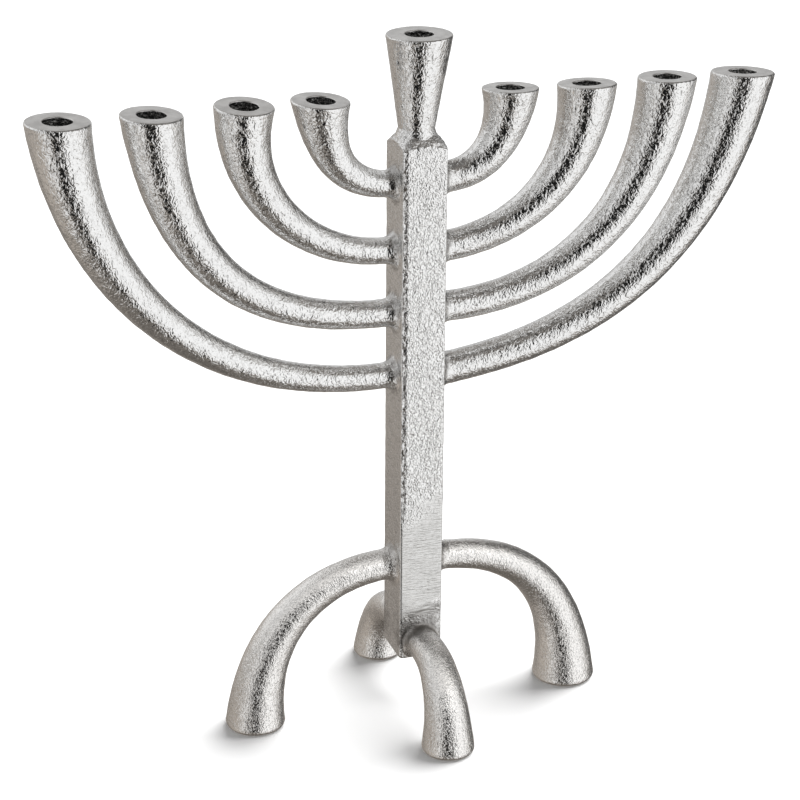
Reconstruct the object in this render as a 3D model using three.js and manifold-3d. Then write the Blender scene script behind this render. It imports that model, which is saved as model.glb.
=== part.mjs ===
// A nine-light cast metal candelabrum: a square post with four pairs of curved arms, a raised
// centre cup and four arched legs. Millimetres, +Z up, +X along the arms to the right, -Y to the
// front. The origin is on the floor, straight under the post.

import * as THREE from 'three';
import { mergeVertices } from 'three/addons/utils/BufferGeometryUtils.js';
import Module from 'manifold-3d';

const GAP = 0.3; // between two castings that meet

// The post: a square bar, sawn off at the bottom and turned to a cone at the top. The cone's
// slope is in degrees.
const POST_WIDTH = 16.6;
const POST_DEPTH = 18.6;
const POST_BOTTOM = 21.6;
const POST_TOP = 219.8;
const POST_EDGE_RADIUS = 0.6;
const SHOULDER_SLOPE = 41;

// Candle sockets, all drilled with one drill, square to the ground rim around them.
const SOCKET_RADIUS = 5;
const ARM_SOCKET_DEPTH = 11;
const CUP_SOCKET_DEPTH = 15;

// The cup on top of the post. It stands a little to the left and leans to the right, in degrees.
// Its flare is how much of its widening is done halfway up its curve's handle.
const CUP_HEIGHT = 254 - POST_TOP;
const CUP_NECK_RADIUS = 6.3;
const CUP_RIM_RADIUS = 11.8;
const CUP_FLARE = 0.47;
const CUP_OFFSET = -0.4;
const CUP_LEAN = 1.3;
const CUP_RIM_TILT = [1.5, -1.8];

// Every casting has a round spigot in a blind hole of the post, and a weld fillet around it: how
// wide it is on the post's face, and how far it runs along the bar.
const SPIGOT_RADIUS = 3.5;
const SPIGOT_LENGTH = 4.7;
const WELD = { width: 3, length: 4.4 };
const LOW_LEG_WELD = { width: 1.5, length: 2.2 };

// How a bar thickens from root to tip: the power of the share of its length.
const TAPER = 1.9;

// The castings on the post's sides. Reach runs from the post's axis to the middle of the far end.
// Pulls are the lengths of the centreline's two handles, as shares of its run and of its rise.
// Rise turns the centreline up where it leaves the post, and lean turns it outwards at the far
// end, in degrees. Each is set and ground by hand, so no two are alike.

// The arms, inner pair first. Tilt is what the ground rim is off level, to the front and to the
// right, in degrees.
const LEFT_ARMS = [
  {
    rootHeight: 202.3, reach: 34.5, rise: 1, lean: 2, pullOut: 0.75, pullUp: 0.58,
    rootRadius: 4.8, tipRadius: 10.5, rimHeight: 233.5, tilt: [4, 3],
  },
  {
    rootHeight: 178.6, reach: 61.2, rise: -3, lean: -7, pullOut: 0.555, pullUp: 0.62,
    rootRadius: 4.8, tipRadius: 10.5, rimHeight: 233.5, tilt: [6, 2.5],
  },
  {
    rootHeight: 155.6, reach: 92.7, rise: -1.5, lean: 4, pullOut: 0.615, pullUp: 0.69,
    rootRadius: 5.1, tipRadius: 10.8, rimHeight: 232.9, tilt: [3.5, 2],
  },
  {
    rootHeight: 132.2, reach: 123.8, rise: -3, lean: 4, pullOut: 0.56, pullUp: 0.615,
    rootRadius: 4.8, tipRadius: 11.2, rimHeight: 232.9, tilt: [3, 1],
  },
];
const RIGHT_ARMS = [
  {
    rootHeight: 203.2, reach: 34, rise: -1, lean: 0, pullOut: 0.66, pullUp: 0.57,
    rootRadius: 5.6, tipRadius: 10.3, rimHeight: 233.3, tilt: [-1.5, 0],
  },
  {
    rootHeight: 178, reach: 62.8, rise: 3, lean: 0.5, pullOut: 0.525, pullUp: 0.645,
    rootRadius: 5.6, tipRadius: 10.8, rimHeight: 232.8, tilt: [-2.5, -1],
  },
  {
    rootHeight: 155.8, reach: 93.7, rise: -0.5, lean: 5, pullOut: 0.555, pullUp: 0.65,
    rootRadius: 5.6, tipRadius: 10.7, rimHeight: 233.1, tilt: [-0.5, -0.5],
  },
  {
    rootHeight: 132.1, reach: 123.5, rise: 5, lean: 10, pullOut: 0.555, pullUp: 0.645,
    rootRadius: 6, tipRadius: 11.5, rimHeight: 232.9, tilt: [-2, 1.5],
  },
];

// The legs: a tall pair in line with the arms, and a low pair across them.
const FOOT_ROUNDING = 1.2;
const LEGS = [
  {
    name: 'leg_left', facing: 'left', rootHeight: 57.7, reach: 61.2, rise: 0,
    pullOut: 0.585, pullUp: 0.63, rootRadius: 5.8, tipRadius: 11.3,
  },
  {
    name: 'leg_right', facing: 'right', rootHeight: 58.3, reach: 62, rise: 0.5,
    pullOut: 0.64, pullUp: 0.66, rootRadius: 5.5, tipRadius: 12.2,
  },
  {
    name: 'leg_front', facing: 'front', rootHeight: 28.2, reach: 40.2, rise: 13,
    pullOut: 0.68, pullUp: 0.7, rootRadius: 6.2, tipRadius: 10, weld: LOW_LEG_WELD,
  },
  {
    name: 'leg_back', facing: 'back', rootHeight: 27.2, reach: 40.2, rise: 12,
    pullOut: 0.61, pullUp: 0.72, rootRadius: 5.9, tipRadius: 10, weld: LOW_LEG_WELD,
  },
];

// A facing turns a casting about the post, and says how far that side of the post is from its
// axis and how wide it is.
const FACINGS = {
  right: { turn: 0, face: POST_WIDTH / 2, faceWidth: POST_DEPTH },
  back: { turn: Math.PI / 2, face: POST_DEPTH / 2, faceWidth: POST_WIDTH },
  left: { turn: Math.PI, face: POST_WIDTH / 2, faceWidth: POST_DEPTH },
  front: { turn: -Math.PI / 2, face: POST_DEPTH / 2, faceWidth: POST_WIDTH },
};

// How finely the shapes are divided.
const BAR_SIDES = 18;
const HOLE_SIDES = 16;
const CONE_SIDES = 48;
const EDGE_STEPS = 3;
const FILLET_STEPS = 3;
const FLARE_STEPS = 5;
const FEWEST_RINGS = 5;
const RING_SPACING = 20;
const MERGE_DISTANCE = 1e-4;

// Cutting: how far a bar runs past an end that is cut off, how far a drill starts outside the
// metal, and the size of the block that cuts an end off.
const WASTE = 3;
const DRILL_START = 1;
const BLOCK = 40;

const wasm = await Module();
wasm.setup();

// A closed solid for joining and cutting, from a closed geometry.
function toSolid(geometry) {
  geometry.deleteAttribute('normal');
  geometry.deleteAttribute('uv');
  const merged = mergeVertices(geometry, MERGE_DISTANCE);
  const corners = merged.index.array;
  const triVerts = [];
  for (let i = 0; i < corners.length; i += 3) {
    const [a, b, c] = corners.slice(i, i + 3);
    if (a !== b && b !== c && c !== a) {
      triVerts.push(a, b, c);
    }
  }
  const mesh = new wasm.Mesh({
    numProp: 3,
    vertProperties: merged.attributes.position.array,
    triVerts: new Uint32Array(triVerts),
  });
  return new wasm.Manifold(mesh);
}

function toGeometry(solid) {
  const mesh = solid.getMesh();
  const geometry = new THREE.BufferGeometry();
  geometry.setAttribute('position', new THREE.BufferAttribute(mesh.vertProperties, 3));
  geometry.setIndex(new THREE.BufferAttribute(mesh.triVerts, 1));
  geometry.computeVertexNormals();
  return geometry;
}

// A round rod lying along +X, from one x to another.
function rodAlongX(radius, from, to) {
  const rod = new THREE.CylinderGeometry(radius, radius, to - from, HOLE_SIDES);
  rod.rotateZ(-Math.PI / 2);
  rod.translate((from + to) / 2, 0, 0);
  return rod;
}

// The centreline of an arm or a leg, in the XZ plane: it leaves the post at its face, at the
// casting's own root height, and ends straight above or below the point at its reach.
function centreline({ face, reach, rise, lean = 0, pullOut, pullUp }, endHeight) {
  const upDown = Math.sign(endHeight);
  const riseAngle = THREE.MathUtils.degToRad(rise);
  const leanAngle = THREE.MathUtils.degToRad(lean);
  const root = new THREE.Vector3(face, 0, 0);
  const tip = new THREE.Vector3(reach, 0, endHeight);
  const rootPull = new THREE.Vector3(Math.cos(riseAngle), 0, Math.sin(riseAngle));
  const tipPull = new THREE.Vector3(-Math.sin(leanAngle), 0, -upDown * Math.cos(leanAngle));
  rootPull.multiplyScalar(pullOut * (reach - face)).add(root);
  tipPull.multiplyScalar(pullUp * Math.abs(endHeight)).add(tip);
  return new THREE.CubicBezierCurve3(root, rootPull, tipPull, tip);
}

// A tapering round bar along a curve in the XZ plane. It is turned straight, about the Y axis,
// and then each slice is carried to its place on the curve.
function bentBar(curve, rings, radiusAt, { past = 0, rounding = 0 }) {
  const length = curve.getLength();
  const profile = [new THREE.Vector2(0, -WASTE)];
  profile.push(new THREE.Vector2(radiusAt(0), -WASTE));
  for (let i = 0; i <= rings; i += 1) {
    const along = i / rings;
    const isEnd = rounding > 0 && i === rings;
    profile.push(new THREE.Vector2(radiusAt(along), length * along - (isEnd ? rounding : 0)));
  }
  profile.push(new THREE.Vector2(radiusAt(1) - rounding, length + past));
  profile.push(new THREE.Vector2(0, length + past));
  const bar = new THREE.LatheGeometry(profile, BAR_SIDES);

  const across = new THREE.Vector3(0, 1, 0);
  const place = bar.attributes.position;
  const vertex = new THREE.Vector3();
  for (let i = 0; i < place.count; i += 1) {
    vertex.fromBufferAttribute(place, i);
    const along = THREE.MathUtils.clamp(vertex.y / length, 0, 1);
    const tangent = curve.getTangentAt(along);
    const outward = tangent.clone().cross(across);
    const moved = curve.getPointAt(along);
    moved.addScaledVector(tangent, vertex.y - along * length);
    moved.addScaledVector(outward, vertex.x);
    moved.addScaledVector(across, vertex.z);
    place.setXYZ(i, moved.x, moved.y, moved.z);
  }
  return toSolid(bar);
}

// Cuts the bar off at the post's face and adds the spigot that goes into the post.
function fitToPost(bar, face) {
  const block = new THREE.BoxGeometry(BLOCK, BLOCK, BLOCK);
  block.translate(face + GAP - BLOCK / 2, 0, 0);
  const spigot = rodAlongX(SPIGOT_RADIUS, face - SPIGOT_LENGTH, face + WASTE);
  return bar.subtract(toSolid(block)).add(toSolid(spigot));
}

// Grinds the rim flat and drills the candle socket square to it.
function grindAndDrill(casting, x, height, [tiltAboutX, tiltAboutY], depth) {
  const drillLength = depth + DRILL_START;
  const waste = new THREE.BoxGeometry(BLOCK, BLOCK, BLOCK);
  waste.translate(0, 0, BLOCK / 2);
  const drill = new THREE.CylinderGeometry(SOCKET_RADIUS, SOCKET_RADIUS, drillLength, HOLE_SIDES);
  drill.rotateX(Math.PI / 2);
  drill.translate(0, 0, DRILL_START - drillLength / 2);
  let finished = casting;
  for (const tool of [waste, drill]) {
    tool.rotateX(THREE.MathUtils.degToRad(tiltAboutX));
    tool.rotateY(THREE.MathUtils.degToRad(tiltAboutY));
    tool.translate(x, 0, height);
    finished = finished.subtract(toSolid(tool));
  }
  return finished;
}

// The bar of an arm or a leg, on its own centreline. Extra makes it that much thicker all round.
function barOf(casting, extra = 0) {
  const isArm = casting.tilt !== undefined;
  const endHeight = (isArm ? casting.rimHeight : 0) - casting.rootHeight;
  const curve = centreline(casting, endHeight);
  const rings = Math.round(FEWEST_RINGS + curve.getLength() / RING_SPACING);
  const { rootRadius, tipRadius } = casting;
  const radiusAt = (s) => THREE.MathUtils.lerp(rootRadius, tipRadius, s ** TAPER) + extra;
  return bentBar(curve, rings, radiusAt, isArm ? { past: WASTE } : { rounding: FOOT_ROUNDING });
}

function armSolid(arm) {
  const tilt = arm.tilt.map((angle) => angle * Math.cos(arm.turn));
  const endHeight = arm.rimHeight - arm.rootHeight;
  return grindAndDrill(fitToPost(barOf(arm), arm.face), arm.reach, endHeight, tilt, ARM_SOCKET_DEPTH);
}

function legSolid(leg) {
  return fitToPost(barOf(leg), leg.face);
}

// A fillet with a hollow quarter-round outside, on the post's face around a casting's root. It
// stops at the edges of that face.
function weldSolid(casting) {
  const { width, length } = casting.weld;
  const foot = casting.rootRadius + GAP + width;
  const hollow = new THREE.EllipseCurve(foot, length, width, length - GAP, -Math.PI / 2, -Math.PI, true);
  const profile = [new THREE.Vector2(0, 0), ...hollow.getPoints(FILLET_STEPS), new THREE.Vector2(0, length)];
  const disc = new THREE.LatheGeometry(profile, BAR_SIDES);
  disc.rotateZ(-Math.PI / 2);
  disc.translate(casting.face + GAP, 0, 0);

  const aboveSawnEnd = casting.rootHeight - POST_BOTTOM - POST_EDGE_RADIUS;
  const flatWidth = casting.faceWidth - 2 * POST_EDGE_RADIUS;
  const bounds = new THREE.BoxGeometry(BLOCK, flatWidth, BLOCK);
  bounds.translate(casting.face, 0, BLOCK / 2 - Math.min(aboveSawnEnd, BLOCK / 2));
  return toSolid(disc).intersect(toSolid(bounds)).subtract(barOf(casting, GAP));
}

// The post's square bar, with its long edges and its sawn end's edges rounded off.
function squareBar() {
  const x = POST_WIDTH / 2 - POST_EDGE_RADIUS;
  const y = POST_DEPTH / 2 - POST_EDGE_RADIUS;
  const outline = new THREE.Shape();
  outline.absarc(x, y, POST_EDGE_RADIUS, 0, Math.PI / 2);
  outline.absarc(-x, y, POST_EDGE_RADIUS, Math.PI / 2, Math.PI);
  outline.absarc(-x, -y, POST_EDGE_RADIUS, Math.PI, Math.PI * 1.5);
  outline.absarc(x, -y, POST_EDGE_RADIUS, Math.PI * 1.5, Math.PI * 2);
  outline.closePath();
  const rounding = POST_EDGE_RADIUS / 2;
  const bar = new THREE.ExtrudeGeometry(outline, {
    depth: POST_TOP - POST_BOTTOM,
    curveSegments: EDGE_STEPS,
    bevelThickness: rounding,
    bevelSize: rounding,
    bevelOffset: -rounding,
    bevelSegments: 2,
  });
  bar.translate(0, 0, POST_BOTTOM + rounding);
  return toSolid(bar);
}

// What the lathe leaves at the post's top: a flat as wide as the cup's neck, and a cone below it.
function turnedTop() {
  const corner = Math.hypot(POST_WIDTH, POST_DEPTH) / 2;
  const drop = (corner - CUP_NECK_RADIUS) * Math.tan(THREE.MathUtils.degToRad(SHOULDER_SLOPE));
  const profile = [
    new THREE.Vector2(0, 0),
    new THREE.Vector2(corner, 0),
    new THREE.Vector2(corner, POST_TOP - drop),
    new THREE.Vector2(CUP_NECK_RADIUS, POST_TOP),
    new THREE.Vector2(0, POST_TOP),
  ];
  const turned = new THREE.LatheGeometry(profile, CONE_SIDES);
  turned.rotateX(Math.PI / 2);
  return toSolid(turned);
}

// The post, with a blind hole for each spigot.
function postSolid(castings) {
  let post = squareBar().intersect(turnedTop());
  const holeDepth = SPIGOT_LENGTH + GAP;
  for (const casting of castings) {
    const drill = rodAlongX(SPIGOT_RADIUS + GAP, casting.face - holeDepth, casting.face + DRILL_START);
    drill.rotateZ(casting.turn);
    drill.translate(0, 0, casting.rootHeight);
    post = post.subtract(toSolid(drill));
  }
  const topDrill = rodAlongX(SPIGOT_RADIUS + GAP, -DRILL_START, holeDepth);
  topDrill.rotateY(Math.PI / 2);
  topDrill.translate(CUP_OFFSET, 0, POST_TOP);
  return post.subtract(toSolid(topDrill));
}

// The centre cup: a cone that opens upwards, standing on the post, with its spigot below.
function cupSolid() {
  const flare = new THREE.QuadraticBezierCurve(
    new THREE.Vector2(CUP_NECK_RADIUS, GAP),
    new THREE.Vector2(CUP_NECK_RADIUS + CUP_FLARE * (CUP_RIM_RADIUS - CUP_NECK_RADIUS), CUP_HEIGHT / 2),
    new THREE.Vector2(CUP_RIM_RADIUS, CUP_HEIGHT),
  );
  const profile = [new THREE.Vector2(0, -SPIGOT_LENGTH), new THREE.Vector2(SPIGOT_RADIUS, -SPIGOT_LENGTH)];
  profile.push(new THREE.Vector2(SPIGOT_RADIUS, GAP), ...flare.getPoints(FLARE_STEPS));
  profile.push(new THREE.Vector2(CUP_RIM_RADIUS, CUP_HEIGHT + WASTE));
  profile.push(new THREE.Vector2(0, CUP_HEIGHT + WASTE));
  const cone = new THREE.LatheGeometry(profile, BAR_SIDES);
  cone.rotateX(Math.PI / 2);
  return grindAndDrill(toSolid(cone), 0, CUP_HEIGHT, CUP_RIM_TILT, CUP_SOCKET_DEPTH);
}

function metal(color, roughness) {
  return new THREE.MeshStandardMaterial({ color, roughness, metalness: 1 });
}

const paint = {
  post: () => metal(0xc9c7c3, 0.32),
  arm: () => metal(0xc4c2be, 0.3),
  cup: () => metal(0xc8c6c2, 0.28),
  leg: () => metal(0xbcb6b0, 0.36),
  weld: () => metal(0x8f8984, 0.5),
};

function named(name, solid, material) {
  const mesh = new THREE.Mesh(toGeometry(solid), material);
  mesh.name = name;
  return mesh;
}

const arms = [['left', LEFT_ARMS], ['right', RIGHT_ARMS]].flatMap(([facing, side]) => side.map(
  (arm, i) => ({ name: `arm_${facing}_${i + 1}`, weld: WELD, ...FACINGS[facing], ...arm })));
const legs = LEGS.map((leg) => ({ weld: WELD, ...leg, ...FACINGS[leg.facing] }));

const candelabrum = new THREE.Group();
candelabrum.add(named('post', postSolid([...arms, ...legs]), paint.post()));

for (const casting of [...arms, ...legs]) {
  const isArm = arms.includes(casting);
  const branch = new THREE.Group();
  branch.rotation.z = casting.turn;
  branch.position.z = casting.rootHeight;
  const bar = isArm ? armSolid(casting) : legSolid(casting);
  branch.add(named(casting.name, bar, isArm ? paint.arm() : paint.leg()));
  branch.add(named(`weld_${casting.name}`, weldSolid(casting), paint.weld()));
  candelabrum.add(branch);
}

const head = new THREE.Group();
head.position.set(CUP_OFFSET, 0, POST_TOP);
head.rotation.y = THREE.MathUtils.degToRad(CUP_LEAN);
head.add(named('shamash_cup', cupSolid(), paint.cup()));
candelabrum.add(head);

export default candelabrum;
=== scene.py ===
# A nine-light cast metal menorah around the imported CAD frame. Metres, +Z up. Shapes are worked
# out in millimetres from the CAD model's own driving dimensions, and turned into metres at the end.
import math

import bmesh
import bpy
import numpy as np
from mathutils import Euler, Matrix, Vector, noise


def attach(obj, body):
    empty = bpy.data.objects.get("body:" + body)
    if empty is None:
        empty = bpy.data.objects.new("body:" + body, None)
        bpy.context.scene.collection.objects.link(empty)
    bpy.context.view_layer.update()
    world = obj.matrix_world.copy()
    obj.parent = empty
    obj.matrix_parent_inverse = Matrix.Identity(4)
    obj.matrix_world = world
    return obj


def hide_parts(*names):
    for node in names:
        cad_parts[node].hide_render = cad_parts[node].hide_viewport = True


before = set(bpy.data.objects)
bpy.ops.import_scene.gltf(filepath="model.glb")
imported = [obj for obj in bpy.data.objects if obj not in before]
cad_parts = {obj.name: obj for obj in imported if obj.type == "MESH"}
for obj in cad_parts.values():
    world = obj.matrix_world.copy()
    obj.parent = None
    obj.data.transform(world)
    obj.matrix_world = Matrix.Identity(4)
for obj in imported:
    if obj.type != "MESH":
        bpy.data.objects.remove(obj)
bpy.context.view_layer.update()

MM = 0.001

# Directions in a casting's own frame, where the post's face looks along X.
OUT = np.array([1.0, 0.0, 0.0])
ACROSS = np.array([0.0, 1.0, 0.0])
UP = np.array([0.0, 0.0, 1.0])

# ---- Camera, in millimetres and degrees ----
SENSOR, LENS = 36.0, 99.406
CAMERA_PLACE = (-247.49, -697.43, 409.46)
CAMERA_YAW, CAMERA_PITCH, CAMERA_ROLL = 19.133, 21.286, 0.4475  # right, down, clockwise


def make_camera():
    data = bpy.data.cameras.new("camera")
    data.sensor_width = SENSOR
    data.lens = LENS
    camera = bpy.data.objects.new("camera", data)
    bpy.context.collection.objects.link(camera)
    yaw, pitch, roll = map(math.radians, (CAMERA_YAW, CAMERA_PITCH, CAMERA_ROLL))
    forward = Vector((math.sin(yaw) * math.cos(pitch), math.cos(yaw) * math.cos(pitch), -math.sin(pitch)))
    level = Vector((math.cos(yaw), -math.sin(yaw), 0))
    upright = level.cross(forward)
    right = level * math.cos(roll) + upright * math.sin(roll)
    up = upright * math.cos(roll) - level * math.sin(roll)
    turned = Matrix((right, up, -forward)).transposed().to_4x4()
    camera.matrix_world = Matrix.Translation(Vector(CAMERA_PLACE) * MM) @ turned
    bpy.context.scene.camera = camera


make_camera()

# ---- Driving dimensions, in millimetres, the same as the CAD model's ----
GAP = 0.3
POST_WIDTH, POST_DEPTH = 16.6, 18.6
POST_BOTTOM, POST_TOP = 21.6, 219.8
SHOULDER_SLOPE = 41  # degrees, a cone
SOCKET_RADIUS = 5.0
ARM_SOCKET_DEPTH, CUP_SOCKET_DEPTH = 11.0, 15.0
CUP_HEIGHT = 254 - POST_TOP
CUP_NECK_RADIUS, CUP_RIM_RADIUS = 6.3, 11.8
CUP_OFFSET, CUP_LEAN = -0.4, 1.3  # to the right, and to the right in degrees
CUP_RIM_TILT = (1.5, -1.8)
SPIGOT_RADIUS, SPIGOT_LENGTH = 3.5, 4.7
WELD = (3.0, 4.4)  # how wide on the post's face, and how far along the bar
LOW_LEG_WELD = (1.5, 2.2)
TAPER = 1.9

# Rise and lean are in degrees. Tilt is what the ground rim is off level to the front and to the right.
ARM_FIELDS = ("root_height", "reach", "rise", "lean", "pull_out", "pull_up", "root_radius", "tip_radius",
              "rim_height", "tilt")
LEFT_ARMS = [
    (202.3, 34.5, 1, 2, 0.75, 0.58, 4.8, 10.5, 233.5, (4, 3)),
    (178.6, 61.2, -3, -7, 0.555, 0.62, 4.8, 10.5, 233.5, (6, 2.5)),
    (155.6, 92.7, -1.5, 4, 0.615, 0.69, 5.1, 10.8, 232.9, (3.5, 2)),
    (132.2, 123.8, -3, 4, 0.56, 0.615, 4.8, 11.2, 232.9, (3, 1)),
]
RIGHT_ARMS = [
    (203.2, 34, -1, 0, 0.66, 0.57, 5.6, 10.3, 233.3, (-1.5, 0)),
    (178, 62.8, 3, 0.5, 0.525, 0.645, 5.6, 10.8, 232.8, (-2.5, -1)),
    (155.8, 93.7, -0.5, 5, 0.555, 0.65, 5.6, 10.7, 233.1, (-0.5, -0.5)),
    (132.1, 123.5, 5, 10, 0.555, 0.645, 6, 11.5, 232.9, (-2, 1.5)),
]
LEG_FIELDS = ("facing", "root_height", "reach", "rise", "pull_out", "pull_up", "root_radius", "tip_radius",
              "weld")
LEGS = [
    ("left", 57.7, 61.2, 0, 0.585, 0.63, 5.8, 11.3, WELD),
    ("right", 58.3, 62, 0.5, 0.64, 0.66, 5.5, 12.2, WELD),
    ("front", 28.2, 40.2, 13, 0.68, 0.7, 6.2, 10, LOW_LEG_WELD),
    ("back", 27.2, 40.2, 12, 0.61, 0.72, 5.9, 10, LOW_LEG_WELD),
]

# How each side of the post is turned about its axis, its distance from it and its width.
FACINGS = {
    "right": {"turn": 0, "face": POST_WIDTH / 2, "face_width": POST_DEPTH},
    "back": {"turn": 90, "face": POST_DEPTH / 2, "face_width": POST_WIDTH},
    "left": {"turn": 180, "face": POST_WIDTH / 2, "face_width": POST_DEPTH},
    "front": {"turn": -90, "face": POST_DEPTH / 2, "face_width": POST_WIDTH},
}

# ---- Finish, in millimetres ----
RING_SPACING = 0.55
SIDES = 112
FACE_POINTS, EDGE_POINTS = 30, 7  # across each side of the post, and round each long edge
PATH_POINTS = 600
PLANE_REACH = 8.0  # how far from the expected length along a bar a plane may cross it
HALVINGS = 40  # of that reach, to find where
SHARP_ANGLE = 42  # degrees: an edge that turns by more than this stays sharp
HAIR = 0.02  # between two castings that look like one surface

RIM_ROUNDING, FOOT_ROUNDING = 0.8, 2.2
SKIN_ENDS = 60  # degrees round a rim's rounded edge, where the grinding has taken the cast skin off
RIM_RELIEF = 0.15  # how much of the cast skin's relief the edge of a ground rim keeps
FOOT_MIDDLE = 1.0  # the radius of the innermost ring under a foot
BORE_CHAMFER = 0.35
BORE_BURR = 0.15  # how ragged the chamfer is
DRILL_POINT = 2.2  # the height of the cone a drill leaves
SPIGOT_CHAMFER = 0.4
NECK_STEP = 0.6  # how deep the weld reaches into a bar's skin
WELD_SUNK = 0.2  # how far a fillet reaches into the post
LEAST_ROOM = 0.12  # the share of its width that a fillet keeps where the post's face has no room
CUP_SKIRT = (1.3, 1.8)  # how far the cup's foot spreads, and how high that starts
CUP_HOLLOW = 0.06  # how hollow the cup's side is, where 0 is a straight cone

EDGE_RADIUS = 0.9  # of the post's long edges
SAWN_ROUNDING, SAWN_EDGE_RADIUS = 2.0, 1.3  # of the lower end, and of the long edges there
SHOULDER_ROUNDING = 0.8
CONE_SQUARENESS = 3  # 2 is a round cone, and more is nearer to a pyramid
CONE_UNDER_CUP = 0.3  # how far the cone runs on under the cup's neck
CONE_FROM = (215, 217)  # the heights over which the turned cone's roughness comes in

WELD_SOOT_AND_SHADE_REACH = 4  # how far the soot and painted shade spread from a weld's corner
LOW_LEG_SPREAD = 2.4  # how many times further it spreads on the low legs
SMUDGE_HEIGHT = 40.5  # of the middle of the scorched patches over the low legs
SMUDGE_HALF = (0.5, 3.2)  # how far above and below it they are full, and how far they reach
SMUDGE_LEFT = (-6.5, -3)  # where they start and are full, to the right of the post's middle
DRESSED = (41, 82)  # the heights between which the post's front and back are ground smooth
DRESSED_WANDER = 9  # how far the ends of that zone wander up and down
PARTING_INSET = 1.1  # from the post's edge to its mould line
PARTING_HALF = (0.4, 0.85)  # how far from its middle the mould line is full, and where it ends
PARTING_FROM = (60, 90)  # the heights over which it comes in


# ---- Relief: the cast skin's own unevenness ----
def cast_relief(point):
    """Height of the cast skin at a point, in millimetres: shallow dents under fine crinkles."""
    dents = noise.noise(point / 6.5)
    lumps = noise.noise(point / 3.1 + Vector((7, 3, 5)))
    crinkle = 1 - 2 * abs(noise.noise(point / 1.9 + Vector((1, 8, 2))))
    return -0.14 + 0.09 * dents + 0.08 * lumps + 0.04 * crinkle


def soft_relief(point):
    """A finer, flatter skin, on the legs."""
    dents = noise.noise(point / 7)
    lumps = noise.noise(point / 3 + Vector((4, 4, 9)))
    return -0.08 + 0.12 * dents + 0.09 * lumps


def post_relief(point):
    """The cast skin, except where the post is ground smooth, with a groove along its mould line. The
    turned cone on top is the roughest."""
    rough = 1 - 0.85 * dressed_at(point)
    groove = parting_at(point) * (0.5 + noise.noise(point / 1.4))
    cone = smooth_step(point.z, *CONE_FROM) * noise.noise(point / 1.3)
    return -0.02 + rough * 0.9 * cast_relief(point) - 0.5 * max(groove, 0) + 0.5 * cone


def smooth_step(value, low, high):
    share = min(max((value - low) / (high - low), 0), 1)
    return share * share * (3 - 2 * share)


def on_front_or_back(point, start):
    """1 on the post's front and back, and 0 from the given depth under them and on its other sides."""
    return smooth_step(abs(point.y), POST_DEPTH / 2 - start, POST_DEPTH / 2 - 0.2)


def rightwards(point):
    """How far a point is to the right of the post's middle, for someone who faces that side of it."""
    return point.x if point.y < 0 else -point.x


def dressed_at(point):
    """1 where the post's front or back is ground smooth, and 0 elsewhere. The zone's ends are ragged."""
    low, high = DRESSED
    ragged = point.z + DRESSED_WANDER * noise.noise(point / 8) - 0.5 * point.x
    starts = smooth_step(ragged, low - 4, low + 1)
    ends = smooth_step(ragged, high - 9, high + 9)
    return on_front_or_back(point, 0.6) * starts * (1 - ends)


def parting_at(point):
    """1 on the mould's parting line, along the front left and back right edges, and 0 away from it."""
    inset = POST_WIDTH / 2 + rightwards(point)
    on_line = 1 - smooth_step(abs(inset - PARTING_INSET), *PARTING_HALF)
    on_face = on_front_or_back(point, 0.5)
    return on_face * on_line * (1 - dressed_at(point)) * smooth_step(point.z, *PARTING_FROM)


def smudge_at(point):
    """1 in the dark, scorched patches over the two low legs, and 0 elsewhere."""
    level = point.z - SMUDGE_HEIGHT + 2 * noise.noise(point / 5)
    in_band = 1 - smooth_step(abs(level), *SMUDGE_HALF)
    return on_front_or_back(point, 0.5) * smooth_step(rightwards(point), *SMUDGE_LEFT) * in_band


# ---- Meshes from rings of points ----
class Ring:
    """One closed loop of points with the directions that relief moves them in, how much of the relief
    they get, and the material of the band that follows it."""

    def __init__(self, points, normals, amount, band):
        self.points = np.asarray(points, float)
        self.normals = np.broadcast_to(np.asarray(normals, float), self.points.shape)
        self.amount = np.broadcast_to(np.asarray(amount, float), len(self.points))
        self.band = band


def unit(vectors):
    return vectors / np.linalg.norm(vectors, axis=-1, keepdims=True)


def mix(a, b, share):
    return a + (b - a) * share


def placed(ring, casting):
    """The ring carried from the casting's own frame to its place on the post."""
    spin = np.array(Matrix.Rotation(math.radians(casting["turn"]), 3, "Z")).T
    points = ring.points @ spin + UP * casting["root_height"]
    return Ring(points, ring.normals @ spin, ring.amount, ring.band)


def weld_soot_and_shade_at(points):
    """How near each point is to a weld's corner, from 0 to 1. Soot and painted shade darken the metal
    there, mostly on top.
    On the low legs they reach further."""
    nearest = np.full(len(points), np.inf)
    for casting in all_castings():
        spin = np.array(Matrix.Rotation(math.radians(casting["turn"]), 3, "Z"))
        x, y, z = ((points - UP * casting["root_height"]) @ spin).T
        reach = WELD_SOOT_AND_SHADE_REACH * (LOW_LEG_SPREAD if casting["weld"] == LOW_LEG_WELD else 1)
        from_corner = np.hypot(x - casting["face"], np.hypot(y, z) - casting["root_radius"])
        underneath = np.clip(-z / casting["root_radius"] + 0.4, 0, 1)
        nearest = np.minimum(nearest, from_corner / reach + 0.7 * underneath)
    return np.exp(-nearest ** 2)


def points_with_relief(rings, relief):
    """All the rings' points, moved inwards by the relief, which never moves them outwards."""
    points = np.concatenate([r.points for r in rings])
    normals = np.concatenate([r.normals for r in rings])
    amounts = np.concatenate([r.amount for r in rings])
    heights = np.array([min(relief(Vector(p)), 0) for p in points]) * amounts
    return points + normals * heights[:, None]


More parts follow.
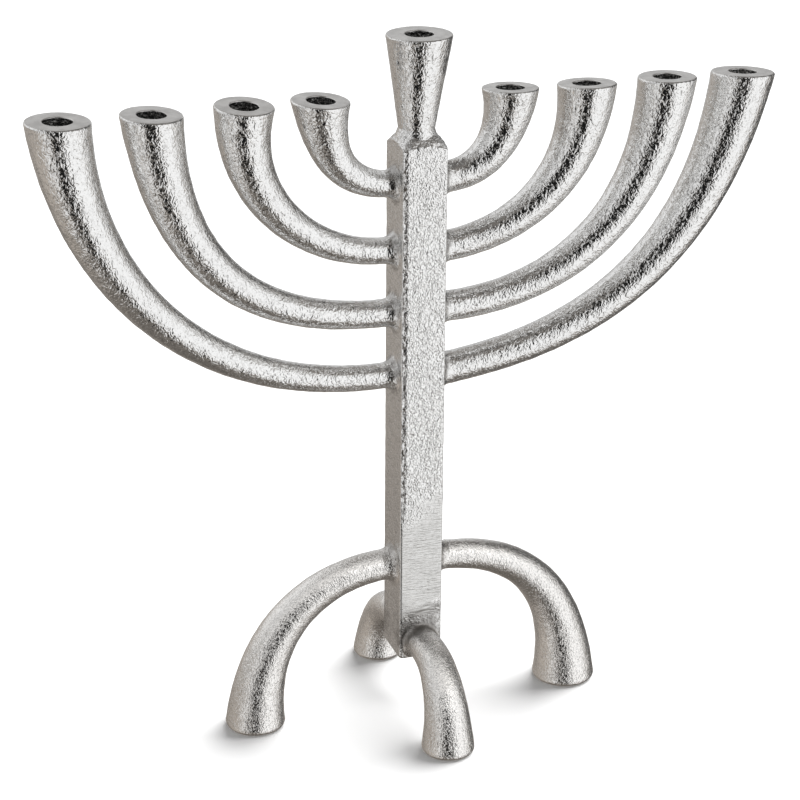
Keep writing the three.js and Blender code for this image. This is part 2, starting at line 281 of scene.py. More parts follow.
def faces_between(rings, looped):
    """The faces from each ring to the next one, and the material of each of them."""
    sides = len(rings[0].points)
    here = np.arange(sides)
    after = np.roll(here, -1)
    quads, bands = [], []
    for i, ring in enumerate(rings if looped else rings[:-1]):
        low, high = i * sides, (i + 1) % len(rings) * sides
        quads.append(np.stack([low + here, low + after, high + after, high + here], axis=1))
        bands += [ring.band] * sides
    return np.concatenate(quads).tolist(), bands


def keep_mark(mesh, name, values):
    """One number at each of the mesh's points, for its material to read."""
    mesh.attributes.new(name, "FLOAT", "POINT").data.foreach_set("value", values)


def mesh_from_rings(name, rings, relief, materials, looped=False, marks=None):
    """A closed, smooth mesh. Its two ends are closed to a middle point, or it runs round into itself.
    Marks are more numbers to keep at its points, each from a function of the place."""
    points = points_with_relief(rings, relief)
    faces, bands = faces_between(rings, looped)
    if not looped:
        sides = len(rings[0].points)
        for start, ring in ((0, rings[0]), (len(points) - sides, rings[-1])):
            end = start + np.arange(sides)
            faces += [[len(points), *pair] for pair in zip(end, np.roll(end, -1))]
            bands += [ring.band] * sides
            points = np.vstack([points, points[end].mean(axis=0)])

    mesh = bpy.data.meshes.new(name)
    mesh.from_pydata((points * MM).tolist(), [], faces)
    mesh.polygons.foreach_set("material_index", bands)
    # Soot and painted shade round the welds' corners, for the materials to read
    keep_mark(mesh, "weld_soot_and_shade", weld_soot_and_shade_at(points))
    for mark, value_at in (marks or {}).items():
        keep_mark(mesh, mark, [value_at(Vector(point)) for point in points])
    for material in materials:
        mesh.materials.append(material)
    mesh.update()
    piece = bpy.data.objects.new(name, mesh)
    bpy.context.collection.objects.link(piece)
    face_outwards(mesh)
    mesh.shade_smooth()
    mesh.set_sharp_from_angle(angle=math.radians(SHARP_ANGLE))
    return piece


def face_outwards(mesh):
    work = bmesh.new()
    work.from_mesh(mesh)
    bmesh.ops.recalc_face_normals(work, faces=work.faces)
    work.to_mesh(mesh)
    work.free()


# ---- Bars: the arms, the legs and the cup ----
class Bar:
    """A tapering round bar along a path in the XZ plane. It runs straight on past its two ends."""

    def __init__(self, path, radius_at):
        self.path = path
        self.radius_at = radius_at
        steps = np.linalg.norm(np.diff(path, axis=0), axis=1)
        self.lengths = np.concatenate([[0], np.cumsum(steps)])
        self.tangents = unit(np.gradient(path, axis=0))
        self.length = self.lengths[-1]

    def surface(self, along, around):
        """Points on the surface, and their directions away from the centreline."""
        inside = np.clip(along, 0, self.length)
        middle = np.stack([np.interp(inside, self.lengths, axis) for axis in self.path.T], axis=-1)
        axes = [np.interp(inside, self.lengths, axis) for axis in self.tangents.T]
        tangent = unit(np.stack(axes, axis=-1))
        middle = middle + tangent * (along - inside)[..., None]
        outward = np.cross(tangent, ACROSS)
        away = outward * np.cos(around)[..., None] + ACROSS * np.sin(around)[..., None]
        radius = self.radius_at(inside / self.length)
        return middle + away * radius[..., None], away

    def meets(self, point, normal, near, around):
        """How far along the bar each line of its surface crosses a plane, near a given length."""
        low = np.full(len(around), near - PLANE_REACH)
        high = np.full(len(around), near + PLANE_REACH)
        for _ in range(HALVINGS):
            middle = (low + high) / 2
            before = (self.surface(middle, around)[0] - point) @ normal < 0
            low = np.where(before, middle, low)
            high = np.where(before, high, middle)
        return (low + high) / 2


def curved_path(casting):
    """A cubic curve from the post's face to the tip, pulled along its rise at one end and its lean at
    the other."""
    end = casting["end_height"]
    rise, lean = math.radians(casting["rise"]), math.radians(casting["lean"])
    run = casting["reach"] - casting["face"]
    root = OUT * casting["face"]
    tip = OUT * casting["reach"] + UP * end
    root_pull = root + casting["pull_out"] * run * (OUT * math.cos(rise) + UP * math.sin(rise))
    tip_lean = -OUT * math.sin(lean) - UP * math.copysign(math.cos(lean), end)
    tip_pull = tip + casting["pull_up"] * abs(end) * tip_lean
    t = np.linspace(0, 1, PATH_POINTS)[:, None]
    return ((1 - t) ** 3 * root + 3 * (1 - t) ** 2 * t * root_pull
            + 3 * (1 - t) * t ** 2 * tip_pull + t ** 3 * tip)


def bar_of(casting):
    root, tip = casting["root_radius"], casting["tip_radius"]
    return Bar(curved_path(casting), lambda share: mix(root, tip, share ** TAPER))


def cup_bar():
    """The cup's bar, in its own frame: on the post's top, before it leans."""
    path = np.linspace([0, 0, 0], [0, 0, CUP_HEIGHT], PATH_POINTS)
    return Bar(path, lambda share: mix(CUP_NECK_RADIUS, CUP_RIM_RADIUS, mix(share, share ** 2, CUP_HOLLOW)))


CAST, GROUND, BORED = 0, 1, 2
AROUND = np.arange(SIDES) / SIDES * math.tau


def skin_rings(bar, start, stop):
    """The cast skin, from one length of the bar to another, each of them its own at every side."""
    count = int(bar.length / RING_SPACING)
    rings = []
    for share in np.linspace(0, 1, count):
        points, away = bar.surface(mix(start, stop, share), AROUND)
        rings.append(Ring(points, away, 1, CAST))
    return rings


def ground_rings(bar, stop, middle, normal, rounding, last_radius):
    """The ground end: its rounded edge, and the flat as far as the given radius."""
    edge, away = bar.surface(stop, AROUND)
    along = unit(edge - bar.surface(stop - 1, AROUND)[0])
    inward = unit(middle - edge)
    rings = []
    for angle in np.radians([18, 36, 54, 72, 90]):
        points = edge - along * rounding * (1 - math.sin(angle)) + inward * rounding * (1 - math.cos(angle))
        turned = away * math.cos(angle) + normal * math.sin(angle)
        band = CAST if angle < math.radians(SKIN_ENDS) else GROUND
        rings.append(Ring(points, turned, mix(RIM_RELIEF, 1, math.cos(angle)), band))
    flat = edge + inward * rounding
    inner = middle + unit(flat - middle) * last_radius
    for share in np.linspace(0, 1, 14)[1:]:
        rings.append(Ring(mix(flat, inner, share), normal, RIM_RELIEF * (1 - share), GROUND))
    return rings, unit(flat - middle)


def bore_rings(middle, normal, spokes, depth):
    """The candle socket: a burred edge, a drilled wall and the drill point's cone."""
    rings = []
    wobble = BORE_BURR * np.array([noise.noise(Vector(middle + s * 2.5)) for s in spokes])
    for angle in np.radians([30, 60, 90]):
        radius = SOCKET_RADIUS + wobble + BORE_CHAMFER * (1 - math.sin(angle))
        down = BORE_CHAMFER * (1 - math.cos(angle))
        rings.append(Ring(middle + spokes * radius[:, None] - normal * down, normal, 0, GROUND))
    rings[-1].band = BORED
    for down in np.linspace(BORE_CHAMFER, depth - DRILL_POINT, 20)[1:]:
        radius = SOCKET_RADIUS + wobble * math.exp(-down / 2)
        rings.append(Ring(middle + spokes * radius[:, None] - normal * down, -spokes, 0.9, BORED))
    for share in (0.34, 0.67):
        radius = SOCKET_RADIUS * (1 - share)
        down = depth - DRILL_POINT * (1 - share)
        rings.append(Ring(middle + spokes * radius - normal * down, normal, 0.4, BORED))
    return rings


def rim_normal(tilt, turn):
    """The ground rim's direction in the casting's own frame."""
    about_x, about_y = (math.radians(angle) * math.cos(math.radians(turn)) for angle in tilt)
    return np.array(Euler((about_x, about_y, 0)).to_matrix() @ Vector((0, 0, 1)))


def spigot_rings(axis_point, axis, side, stop, neck):
    """The spigot in the post and, after a step, the neck that the weld closes round."""
    other = np.cross(axis, side)
    spokes = side * np.cos(AROUND)[:, None] + other * np.sin(AROUND)[:, None]
    end = axis_point + spokes * (SPIGOT_RADIUS - SPIGOT_CHAMFER) - axis * SPIGOT_LENGTH
    rings = [Ring(end, spokes, 0, CAST)]
    for along in (SPIGOT_CHAMFER - SPIGOT_LENGTH, -SPIGOT_LENGTH / 2, stop):
        rings.append(Ring(axis_point + spokes * SPIGOT_RADIUS + axis * along, spokes, 0, CAST))
    return rings + neck


def root_lines(casting, bar):
    """Where the bar's surface would meet the post's face, and where it comes out of the weld."""
    face = OUT * casting["face"]
    corner_at = bar.meets(face, OUT, 0, AROUND)
    return corner_at, corner_at + casting["weld"][1]


def neck_rings(bar, start, depth, face):
    """The bar's weld preparation: a step down from its skin, as far back as the post's face."""
    points, away = bar.surface(start, AROUND)
    inner = points - away * depth
    root = inner.copy()
    root[:, 0] = face
    return [Ring(root, away, 0, CAST), Ring(inner, away, 0, CAST), Ring(points, away, 1, CAST)]


def arm_or_leg(casting, materials, relief):
    """A casting from its spigot to its tip: an arm's ground rim with a socket in it, or a leg's foot."""
    bar = bar_of(casting)
    _, start = root_lines(casting, bar)
    neck = neck_rings(bar, start + HAIR, NECK_STEP, casting["face"] + GAP)
    rings = spigot_rings(OUT * casting["face"], OUT, UP, GAP, neck)
    tip = OUT * casting["reach"] + UP * casting["end_height"]
    is_arm = casting["tilt"] is not None
    if is_arm:
        normal = rim_normal(casting["tilt"], casting["turn"])
        rounding, flat_stops = RIM_ROUNDING, SOCKET_RADIUS + BORE_CHAMFER
    else:
        normal = -UP
        rounding, flat_stops = FOOT_ROUNDING, FOOT_MIDDLE
    stop = bar.meets(tip, normal, bar.length, AROUND)
    rings += skin_rings(bar, start + 2 * HAIR, stop - rounding)[1:]
    flat, spokes = ground_rings(bar, stop, tip, normal, rounding, flat_stops)
    rings += flat
    if is_arm:
        rings += bore_rings(tip, normal, spokes, ARM_SOCKET_DEPTH)
    rings = [placed(ring, casting) for ring in rings]
    return mesh_from_rings(casting["name"] + "_casting", rings, relief, materials)


def weld(casting, materials, relief):
    """The fillet between the post's face and the bar, hollow like a quarter of an ellipse."""
    bar = bar_of(casting)
    corner_at, start = root_lines(casting, bar)
    corner, away = bar.surface(corner_at, AROUND)
    out, _ = bar.surface(start, AROUND)
    outward = unit(away * (ACROSS + UP))
    width = casting["weld"][0] * room_at(casting, corner, outward)
    rings = []
    for angle in np.radians(np.linspace(0, 90, 12)):
        spread = (width * (1 - math.cos(angle)))[:, None]
        points = corner + (out - corner) * (1 - math.sin(angle)) + outward * spread
        turned = away * math.cos(angle) + OUT * math.sin(angle)
        rings.append(Ring(points + turned * HAIR, unit(turned), 1, CAST))
    inner_out = out - away * (NECK_STEP - HAIR)
    inner_root = inner_out.copy()
    inner_root[:, 0] = casting["face"] + HAIR
    sunk = corner + outward * width[:, None]
    sunk[:, 0] = casting["face"] - WELD_SUNK
    for share in (0, 0.5):
        rings.append(Ring(mix(sunk, inner_root, share), OUT, 1, CAST))
    for inner in (inner_root, inner_out):
        rings.append(Ring(inner, away, 0, CAST))
    rings = [placed(ring, casting) for ring in rings]

    def both_reliefs(point):
        return min(relief(point), post_relief(point) - HAIR)

    return mesh_from_rings(casting["name"] + "_fillet", rings, both_reliefs, materials, looped=True)


def room_at(casting, corner, outward):
    """What share of its width the weld has room for on the post's face, at each side of the bar."""
    width = casting["weld"][0]
    half = casting["face_width"] / 2 - EDGE_RADIUS
    floor = POST_BOTTOM + SAWN_ROUNDING * 0.5 - casting["root_height"]
    sideways = (half - np.abs(corner[:, 1])) / np.maximum(np.abs(outward[:, 1]) * width, 1e-6)
    down = (corner[:, 2] - floor) / np.maximum(-outward[:, 2] * width, 1e-6)
    return np.clip(np.minimum(sideways, down), LEAST_ROOM, 1)


def skirt_rings(bar):
    """The foot of the cup, which spreads in a hollow curve to lie on the post's cone."""
    width, height = CUP_SKIRT
    rings = []
    for angle in np.radians(np.linspace(0, 80, 8)):
        skin, away = bar.surface(np.full(SIDES, height * math.sin(angle)), AROUND)
        spread = width * (1 - math.sin(angle))
        points = skin + away * spread - UP * spread * math.tan(math.radians(SHOULDER_SLOPE))
        rings.append(Ring(points + UP * HAIR, away, 1, CAST))
    return rings


def shamash_cup(materials, relief):
    """The centre cup, from its spigot to its ground rim and socket. It leans and is a little off centre."""
    bar = cup_bar()
    tip = UP * CUP_HEIGHT
    normal = rim_normal(CUP_RIM_TILT, 0)
    rings = spigot_rings(np.zeros(3), UP, -OUT, HAIR, skirt_rings(bar))
    stop = bar.meets(tip, normal, bar.length, AROUND)
    rings += skin_rings(bar, np.full(SIDES, CUP_SKIRT[1]), stop - RIM_ROUNDING)
    flat, spokes = ground_rings(bar, stop, tip, normal, RIM_ROUNDING, SOCKET_RADIUS + BORE_CHAMFER)
    rings += flat + bore_rings(tip, normal, spokes, CUP_SOCKET_DEPTH)
    lean = np.array(Matrix.Rotation(math.radians(CUP_LEAN), 3, "Y")).T
    stand = np.array([CUP_OFFSET, 0, POST_TOP])
    rings = [Ring(r.points @ lean + stand, r.normals @ lean, r.amount, r.band) for r in rings]
    return mesh_from_rings("shamash_cup_casting", rings, relief, materials)


# ---- The post ----
def outline(half_x, half_y, radius, flat_points, corner_points):
    """A rectangle with round corners, and its directions outwards."""
    corners, facings = [], []
    for quarter, (sign_x, sign_y) in enumerate(((1, 1), (-1, 1), (-1, -1), (1, -1))):
        centre = np.array([sign_x * (half_x - radius), sign_y * (half_y - radius)])
        angles = np.radians(np.linspace(90 * quarter, 90 * quarter + 90, corner_points))
        facing = np.stack([np.cos(angles), np.sin(angles)], axis=1)
        corners.append(centre + facing * radius)
        facings.append(facing)
    loop, directions = [], []
    for quarter, corner in enumerate(corners):
        loop.append(corner)
        directions.append(facings[quarter])
        following = corners[(quarter + 1) % 4]
        for share in np.linspace(0, 1, flat_points + 2)[1:-1]:
            loop.append(mix(corner[-1:], following[:1], share))
            directions.append(facings[quarter][-1:])
    return np.concatenate(loop), np.concatenate(directions)


def slice_of_post(inset, radius):
    return outline(POST_WIDTH / 2 - inset, POST_DEPTH / 2 - inset, radius, FACE_POINTS, EDGE_POINTS)


def post_ring(heights, flat, facing, slope, amount):
    """A slice of the post. The slope is how far its surface faces up, in radians."""
    points = np.column_stack([flat, np.broadcast_to(heights, len(flat))])
    normals = np.column_stack([facing * math.cos(slope), np.full(len(flat), math.sin(slope))])
    return Ring(points, normals, amount, CAST)


def cone_height(flat):
    """How high the turned cone is over points of the plan."""
    radius = np.sum(np.abs(flat) ** CONE_SQUARENESS, axis=1) ** (1 / CONE_SQUARENESS)
    return POST_TOP - np.maximum(radius - CUP_NECK_RADIUS, 0) * math.tan(math.radians(SHOULDER_SLOPE))


def shoulder_rings(low):
    """From the upright sides, over the edge the cone leaves, and up the cone to the cup's neck."""
    flat, facing = slice_of_post(0, EDGE_RADIUS)
    edge = cone_height(flat) - SHOULDER_ROUNDING
    rings = []
    for share in np.linspace(0, 1, 9)[1:]:
        rings.append(post_ring(mix(low, edge, share), flat, facing, 0, 1))
    slope = math.radians(90 - SHOULDER_SLOPE)
    for share in (0.35, 0.7, 1.0):
        turn = slope * share
        inward = facing * SHOULDER_ROUNDING * (1 - math.cos(turn))
        heights = edge + SHOULDER_ROUNDING * math.sin(turn)
        rings.append(post_ring(heights, flat - inward, facing, turn, 1))
    start = flat - facing * SHOULDER_ROUNDING * (1 - math.cos(slope))
    start_heights = rings[-1].points[:, 2]
    outward = unit(flat)
    stop = outward * (CUP_NECK_RADIUS - CONE_UNDER_CUP)
    for share in np.linspace(0, 1, 11)[1:]:
        plan = mix(start, stop, share)
        heights = mix(start_heights, cone_height(plan), min(1, share * 4))
        rings.append(post_ring(heights, plan, outward, slope, 1 - 0.8 * share))
    for share in (0.3, 0.6, 0.9):
        rings.append(post_ring(POST_TOP, stop * (1 - share), outward, math.pi / 2, 0))
    return rings


def sawn_rings():
    """The underside, from near its middle outwards, and its rounded edge."""
    rings = []
    for share in (0.2, 0.4, 0.6, 0.8):
        flat, facing = slice_of_post(mix(POST_WIDTH / 2 - 0.5, SAWN_ROUNDING, share), 0.3 + share)
        rings.append(post_ring(POST_BOTTOM, flat, facing, -math.pi / 2, 0.5))
    for angle in np.radians(np.linspace(0, 80, 6)):
        flat, facing = slice_of_post(SAWN_ROUNDING * (1 - math.sin(angle)), SAWN_EDGE_RADIUS)
        height = POST_BOTTOM + SAWN_ROUNDING * (1 - math.cos(angle))
        rings.append(post_ring(height, flat, facing, angle - math.pi / 2, 0.8))
    return rings


def post(materials):
    """The square bar, from its sawn end up to the turned cone under the cup."""
    rings = sawn_rings()
    flat, facing = slice_of_post(0, EDGE_RADIUS)
    low, high = POST_BOTTOM + SAWN_ROUNDING, cone_height(flat).min() - 1
    for height in np.linspace(low, high, int((high - low) / RING_SPACING)):
        rings.append(post_ring(height, flat, facing, 0, 1))
    rings += shoulder_rings(high)
    marks = {"dressed": dressed_at, "parting": parting_at, "smudge": smudge_at}
    return mesh_from_rings("post_casting", rings, post_relief, materials, marks=marks)


# ---- Materials ----
class Graph:
    """Short ways to add nodes to a tree."""

    def __init__(self, tree):
        self.nodes, self.links = tree.nodes, tree.links

    def feed(self, socket, value):
        if isinstance(value, bpy.types.NodeSocket):
            self.links.new(value, socket)
        else:
            socket.default_value = value

    def math(self, operation, *values):
        node = self.nodes.new("ShaderNodeMath")
        node.operation = operation
        for socket, value in zip(node.inputs, values):
            self.feed(socket, value)
        return node.outputs[0]

    def step(self, value, none, full):
        """0 where the value is at none, 1 where it is at full, and soft between."""
        node = self.nodes.new("ShaderNodeMapRange")
        node.interpolation_type = "SMOOTHSTEP"
        self.feed(node.inputs["Value"], value)
        node.inputs["From Min"].default_value = none
        node.inputs["From Max"].default_value = full
        return node.outputs["Result"]

    def blend(self, share, first, second):
        """A colour, from the first where the share is 0 to the second where it is 1."""
        node = self.nodes.new("ShaderNodeMix")
        node.data_type = "RGBA"
        # The node's colour sockets share their names with others, so they go by number.
        for number, value in ((0, share), (6, first), (7, second)):
            self.feed(node.inputs[number], value)
        return node.outputs[2]

    def noise(self, where, size, detail=2.0, distortion=0.0, stretch=(1, 1, 1)):
        """Cloudy noise about 0, with patches of the given size in millimetres, longer where stretched."""
        scaled = self.nodes.new("ShaderNodeVectorMath")
        scaled.operation = "DIVIDE"
        self.feed(scaled.inputs[0], where)
        scaled.inputs[1].default_value = [size * MM * length for length in stretch]
        node = self.nodes.new("ShaderNodeTexNoise")
        node.inputs["Scale"].default_value = 1
        node.inputs["Detail"].default_value = detail
        node.inputs["Distortion"].default_value = distortion
        self.links.new(scaled.outputs[0], node.inputs["Vector"])
        return self.math("SUBTRACT", node.outputs["Fac"], 0.5)

    def mark(self, name):
        """A number that the mesh keeps at its points."""
        node = self.nodes.new("ShaderNodeAttribute")
        node.attribute_name = name
        return node.outputs["Fac"]

    def place(self):
        """The place on the object that is shaded, in metres."""
        return self.nodes.new("ShaderNodeTexCoord").outputs["Object"]

    def bump(self, shader, height):
        """Relief too fine for the mesh, from its height in millimetres."""
        node = self.nodes.new("ShaderNodeBump")
        node.inputs["Distance"].default_value = MM
        self.feed(node.inputs["Height"], height)
        self.feed(shader.inputs["Normal"], node.outputs["Normal"])


def new_material(name):
    material = bpy.data.materials.new(name)
    material.use_nodes = True
    return material, Graph(material.node_tree), material.node_tree.nodes["Principled BSDF"]


GRAIN_SIZE, MOTTLE_SIZE = 0.45, 0.7  # in millimetres
MOTTLE = 0.84  # how bright the duller grains are, as a share of the rest
DRESSED_TONE = (0.79, 0.79, 0.78, 1)
GROUND_TONES = ((0.68, 0.675, 0.665, 1), (0.92, 0.915, 0.905, 1))
BORED_TONES = ((0.14, 0.14, 0.14, 1), (0.75, 0.74, 0.72, 1))
DEPOSIT_AND_SHADE = (0.10, 0.085, 0.07, 1)  # soot with painted shade round the welds' corners, and the dark deposit left in the skin's pits
WELD_SOOT_AND_SHADE_COVER, SCORCH_COVER = 0.68, 0.72  # how much of the metal it hides at most
DEPOSIT_AND_SHADE_ROUGHNESS = 0.3  # how much rougher than the metal it is


def cast_metal(name, tone, roughness, crinkle_size, crinkle_depth, grain_depth, pitting, finish=None):
    """Cast metal: a crinkled skin, a fine grain, dark pits, and soot with painted shade by the welds.
    A finish changes its colour, height and dark marks."""
    material, graph, shader = new_material(name)
    where = graph.place()
    crinkle = graph.noise(where, crinkle_size, detail=1.2, distortion=1.2, stretch=(1, 1, 1.25))
    grain = graph.noise(where, GRAIN_SIZE, detail=1.0)
    pits = graph.math("MULTIPLY", graph.step(crinkle, -0.10, -0.24), pitting)
    # Soot and painted shade by the welds, made ragged
    ragged = graph.math("MULTIPLY_ADD", graph.noise(where, 3.0), 1.2, graph.mark("weld_soot_and_shade"))
    soot_and_shade = graph.math("MULTIPLY", graph.step(ragged, 0.3, 1.2), WELD_SOOT_AND_SHADE_COVER)
    dirt_and_shade = graph.math("MAXIMUM", pits, soot_and_shade)
    height = graph.math("MULTIPLY", crinkle, crinkle_depth)
    height = graph.math("MULTIPLY_ADD", grain, grain_depth, height)
    mottle = graph.step(graph.noise(where, MOTTLE_SIZE, detail=2.0), -0.25, 0.1)
    color = graph.blend(mottle, (*(MOTTLE * share for share in tone), 1), (*tone, 1))
    if finish:
        color, height, dirt_and_shade = finish(graph, where, color, height, dirt_and_shade)
    # The dark marks, painted shade among them, darken the colour and roughen it
    graph.feed(shader.inputs["Base Color"], graph.blend(dirt_and_shade, color, DEPOSIT_AND_SHADE))
    graph.feed(shader.inputs["Roughness"], graph.math("MULTIPLY_ADD", dirt_and_shade, DEPOSIT_AND_SHADE_ROUGHNESS, roughness))
    shader.inputs["Metallic"].default_value = 1
    graph.bump(shader, height)
    return material


def dress(graph, where, color, height, dirt_and_shade):
    """The post's smooth zones, ground across, scorched patches and the broken mould lines."""
    smooth = graph.mark("dressed")
    scratch = graph.noise(where, 0.32, detail=2.0, stretch=(18, 18, 1))
    kept = graph.math("MULTIPLY", height, graph.math("MULTIPLY_ADD", smooth, -0.94, 1.0))
    height = graph.math("MULTIPLY_ADD", graph.math("MULTIPLY", scratch, 0.22), smooth, kept)
    color = graph.blend(smooth, color, DRESSED_TONE)
    dirt_and_shade = graph.math("MULTIPLY", dirt_and_shade, graph.math("MULTIPLY_ADD", smooth, -0.8, 1.0))
    broken = graph.step(graph.noise(where, 1.2), -0.14, 0.0)
    line = graph.math("MULTIPLY", graph.mark("parting"), broken)
    streaks = graph.step(graph.noise(where, 0.6, detail=2.0, stretch=(7, 7, 1)), -0.3, 0.15)
    scorch = graph.math("MULTIPLY", graph.math("SQRT", graph.mark("smudge")), streaks)
    marks = graph.math("MAXIMUM", line, graph.math("MULTIPLY", scorch, SCORCH_COVER))
    return color, height, graph.math("MAXIMUM", dirt_and_shade, marks)


def ground_metal():
    """The rims, ground by hand on a belt: satin, with a faint waviness."""
    material, graph, shader = new_material("ground")
    where = graph.place()
    waves = graph.math("MULTIPLY", graph.noise(where, 2.5, detail=3.0), 0.12)
    scratches = graph.math("MULTIPLY", graph.noise(where, 0.3, detail=1.0, stretch=(10, 1, 10)), 0.03)
    cloud = graph.step(graph.noise(where, 4.0, detail=3.0), -0.3, 0.3)
    graph.feed(shader.inputs["Base Color"], graph.blend(cloud, *GROUND_TONES))
    shader.inputs["Metallic"].default_value = 1
    shader.inputs["Roughness"].default_value = 0.36
    graph.bump(shader, graph.math("ADD", waves, scratches))
    return material


def bored_metal():
    """The rough, dark walls of the candle sockets."""
    material, graph, shader = new_material("bored")
    where = graph.place()
    rough = graph.noise(where, 1.0, detail=3.0)
    patches = graph.step(rough, -0.05, 0.2)
    graph.feed(shader.inputs["Base Color"], graph.blend(patches, *BORED_TONES))
    shader.inputs["Metallic"].default_value = 1
    shader.inputs["Roughness"].default_value = 0.4
    graph.bump(shader, graph.math("MULTIPLY", rough, 0.5))
    return material


cast_arm = cast_metal("cast_arm", (0.95, 0.95, 0.945), roughness=0.08, crinkle_size=1.3,
                      crinkle_depth=0.31, grain_depth=0.015, pitting=0.3)
cast_post = cast_metal("cast_post", (0.97, 0.97, 0.965), roughness=0.12, crinkle_size=0.95,
                       crinkle_depth=0.36, grain_depth=0.015, pitting=0.2, finish=dress)
# The legs are blasted instead of polished: satin, with a finer skin.
cast_leg = cast_metal("cast_leg", (1.0, 0.985, 0.965), roughness=0.17, crinkle_size=0.85,
                      crinkle_depth=0.26, grain_depth=0.06, pitting=0.03)
ground = ground_metal()
bored = bored_metal()


# ---- Assembly ----
def all_castings():
    castings = []
    for facing, arms in (("left", LEFT_ARMS), ("right", RIGHT_ARMS)):
        for number, values in enumerate(arms, 1):
            arm = dict(zip(ARM_FIELDS, values), name=f"arm_{facing}_{number}", weld=WELD, **FACINGS[facing])
            arm["end_height"] = arm["rim_height"] - arm["root_height"]
            castings.append(arm)
    for values in LEGS:
        leg = dict(zip(LEG_FIELDS, values))
        leg.update(FACINGS[leg["facing"]], name="leg_" + leg["facing"], lean=0, tilt=None)
        leg["end_height"] = -leg["root_height"]
        castings.append(leg)
    return castings


def fit(piece, node):
    """The piece stands for a CAD node and moves with the one body."""
    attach(piece, "root")
    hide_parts(node)


legs = []
for casting in all_castings():
    is_arm = casting["tilt"] is not None
    skins = [cast_arm, ground, bored] if is_arm else [cast_leg, cast_leg]
    relief = cast_relief if is_arm else soft_relief
    piece = arm_or_leg(casting, skins, relief)
    fit(piece, casting["name"])
    seam = weld(casting, [skins[0]], relief)
    fit(seam, "weld_" + casting["name"])
    if not is_arm:
        legs.append(piece)

fit(post([cast_post]), "post")
fit(shamash_cup([cast_arm, ground, bored], cast_relief), "shamash_cup")


# ---- Studio ----
FLOOR_SIZE = 12.0  # metres
FLOOR_TONE = 0.9

# What the metal sees in front of the surround: soft panels and dark cards, each over the ones before.
# Azimuth (0 in front, 90 to the right) and elevation of the middle, half width, half height and
# softness are in degrees. Then how bright it is, and how warm if it isn't neutral.
PANELS = {
    "key": {"middle": (41, -3), "half": (37, 42), "soft": (13, 14), "light": 0.96},
    "left": {"middle": (-98, 36), "half": (36, 26), "soft": (16, 18), "light": 0.5},
    "strip": {"middle": (-60, 2), "half": (13, 46), "soft": (9, 12), "light": 0.78},
    "back key": {"middle": (-140, 34), "half": (38, 30), "soft": (10, 12), "light": 0.8},
    "back": {"middle": (-160, -3), "half": (20, 10), "soft": (10, 12), "light": 0.42, "warmth": 0.08},
    "back low": {"middle": (-160, -37), "half": (22, 15), "soft": (10, 6), "light": 0.2, "warmth": 0.1},
    "edge": {"middle": (160, 6), "half": (16, 30), "soft": (10, 16), "light": 0.62},
    "front card": {"middle": (-19, 0), "half": (20, 48), "soft": (7, 14), "light": 0.01},
    "right card": {"middle": (115, 0), "half": (22, 60), "soft": (12, 14), "light": 0.09},
}
# All round, by elevation: how bright it is and how warm.
SURROUND = [(-90, 0.10, 0.10), (-60, 0.14, 0.11), (-32, 0.42, 0.11), (-8, 0.28, 0.09), (12, 0.26, 0.06),
            (38, 0.33, 0.06), (56, 0.20, 0.08), (72, 0.09, 0.06), (90, 0.22, 0.03)]

# What lights the floor: an even sky, brighter towards the left, and a soft sun on the right.
SKY, SKY_SIDE = 0.17, 0.3
SKY_AZIMUTH, SKY_ELEVATION = -75, 35
SUN = {"azimuth": 120, "elevation": 44, "angle": 60, "strength": 5.8}

# A round softbox in front of the legs, and for the legs only: size and distance in metres, and how
# bright it looks.
LEG_LAMP = {"azimuth": 4, "elevation": 58, "size": 1.2, "distance": 0.8, "light": 0.55}


def make_floor():
    size = FLOOR_SIZE / 2
    mesh = bpy.data.meshes.new("floor")
    corners = [(-size, -size, 0), (size, -size, 0), (size, size, 0), (-size, size, 0)]
    mesh.from_pydata(corners, [], [(0, 1, 2, 3)])
    material, _, shader = new_material("floor")
    shader.inputs["Base Color"].default_value = (FLOOR_TONE, FLOOR_TONE, FLOOR_TONE, 1)
    shader.inputs["Roughness"].default_value = 0.9
    shader.inputs["Specular IOR Level"].default_value = 0
    mesh.materials.append(material)
    floor = bpy.data.objects.new("floor", mesh)
    bpy.context.collection.objects.link(floor)
    floor.visible_glossy = False
    return floor


def pointing(azimuth, elevation):
    """The direction of an azimuth and an elevation in degrees."""
    azimuth, elevation = math.radians(azimuth), math.radians(elevation)
    level = math.cos(elevation)
    return Vector((math.sin(azimuth) * level, -math.cos(azimuth) * level, math.sin(elevation)))


def make_lamp(name, kind, energy, towards):
    """A lamp whose light comes from the given direction."""
    data = bpy.data.lights.new(name, kind)
    data.energy = energy
    lamp = bpy.data.objects.new(name, data)
    bpy.context.collection.objects.link(lamp)
    lamp.rotation_mode = "QUATERNION"
    lamp.rotation_quaternion = towards.to_track_quat("Z", "Y")
    return lamp


def group(name, pieces):
    """A collection that a lamp is linked to."""
    collection = bpy.data.collections.new(name)
    for piece in pieces:
        collection.objects.link(piece)
    return collection


def make_leg_lamp(pieces):
    """It lights the given pieces only."""
    size = LEG_LAMP["size"]
    energy = LEG_LAMP["light"] * (math.pi * size / 2) ** 2
    towards = pointing(LEG_LAMP["azimuth"], LEG_LAMP["elevation"])
    lamp = make_lamp("leg lamp", "AREA", energy, towards)
    lamp.data.shape = "DISK"
    lamp.data.size = size
    lamp.location = towards * LEG_LAMP["distance"]
    lamp.light_linking.receiver_collection = group("legs", pieces)


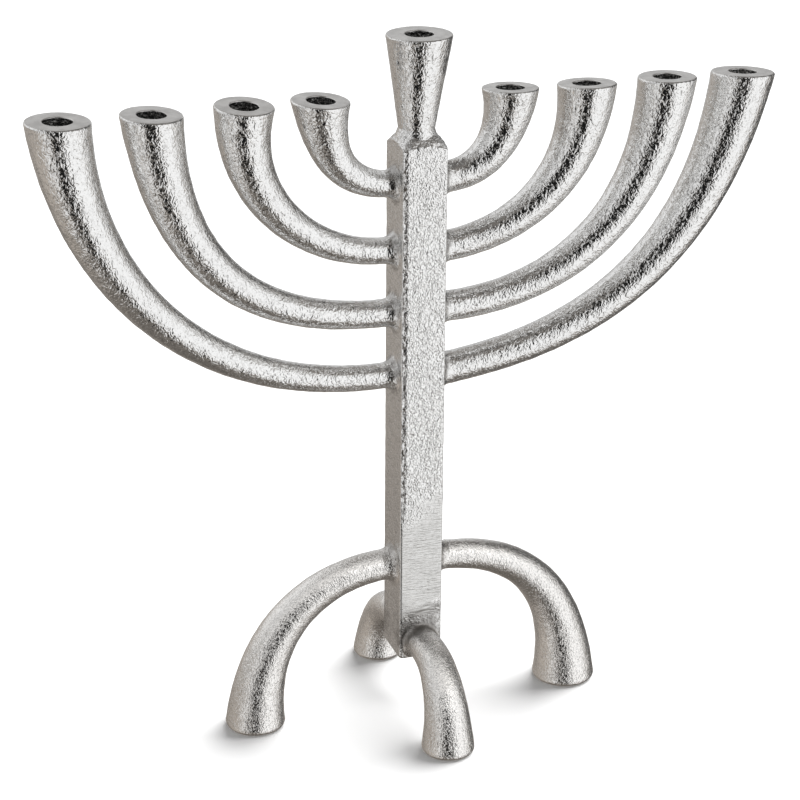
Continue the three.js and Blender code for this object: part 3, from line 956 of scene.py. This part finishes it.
def make_sun(floor, casters):
    """It lights the floor only: the metal sees the panels instead. Just the given pieces shade it."""
    towards = pointing(SUN["azimuth"], SUN["elevation"])
    sun = make_lamp("sun", "SUN", SUN["strength"], towards)
    sun.data.angle = math.radians(SUN["angle"])
    sun.visible_glossy = False
    sun.light_linking.receiver_collection = group("lit", [floor])
    sun.light_linking.blocker_collection = group("casters", casters)


def tinted(light, warmth):
    return (light * (1 + warmth), light, light * (1 - warmth), 1)


def ray_direction(graph):
    return graph.nodes.new("ShaderNodeTexCoord").outputs["Generated"]


def surround(graph, elevation):
    """What the metal sees behind the panels."""
    ramp = graph.nodes.new("ShaderNodeValToRGB")
    while len(ramp.color_ramp.elements) < len(SURROUND):
        ramp.color_ramp.elements.new(0.5)
    for element, (at, light, warmth) in zip(ramp.color_ramp.elements, SURROUND):
        element.position = (at + 90) / 180
        element.color = tinted(light, warmth)
    graph.feed(ramp.inputs[0], graph.math("MULTIPLY_ADD", elevation, 1 / 180, 0.5))
    return ramp.outputs[0]


def panel_mask(graph, angles, panel):
    """1 inside a panel, 0 outside it, and soft between."""
    masks = []
    for angle, middle, half, soft in zip(angles, panel["middle"], panel["half"], panel["soft"]):
        offset = graph.math("ABSOLUTE", graph.math("SUBTRACT", angle, float(middle)))
        masks.append(graph.step(offset, half + soft, half - soft))
    return graph.math("MULTIPLY", *masks)


def seen_by_metal(graph):
    """The painted panels, in front of the surround."""
    direction = graph.nodes.new("ShaderNodeSeparateXYZ")
    graph.feed(direction.inputs[0], ray_direction(graph))
    x, y, z = direction.outputs
    azimuth = graph.math("DEGREES", graph.math("ARCTAN2", x, graph.math("MULTIPLY", y, -1.0)))
    elevation = graph.math("DEGREES", graph.math("ARCSINE", z))
    seen = surround(graph, elevation)
    for panel in PANELS.values():
        mask = panel_mask(graph, (azimuth, elevation), panel)
        seen = graph.blend(mask, seen, tinted(panel["light"], panel.get("warmth", 0)))
    return seen


def sky_over_floor(graph):
    towards = graph.nodes.new("ShaderNodeVectorMath")
    towards.operation = "DOT_PRODUCT"
    graph.feed(towards.inputs[0], ray_direction(graph))
    towards.inputs[1].default_value = pointing(SKY_AZIMUTH, SKY_ELEVATION)
    brighter = graph.math("MAXIMUM", towards.outputs["Value"], 0.0)
    return graph.math("MULTIPLY_ADD", brighter, SKY_SIDE, SKY)


def make_world():
    """The metal sees the painted panels, the floor sees the sky, and past the floor all is white."""
    world = bpy.data.worlds.new("studio")
    bpy.context.scene.world = world
    world.use_nodes = True
    world.cycles.sampling_method = "NONE"
    graph = Graph(world.node_tree)
    path = graph.nodes.new("ShaderNodeLightPath")
    color = graph.blend(path.outputs["Is Camera Ray"], sky_over_floor(graph), (1, 1, 1, 1))
    color = graph.blend(path.outputs["Is Glossy Ray"], color, seen_by_metal(graph))
    graph.feed(graph.nodes["Background"].inputs[0], color)


make_sun(make_floor(), legs)
make_leg_lamp(legs)
make_world()
bpy.context.scene.view_settings.view_transform = "Standard"
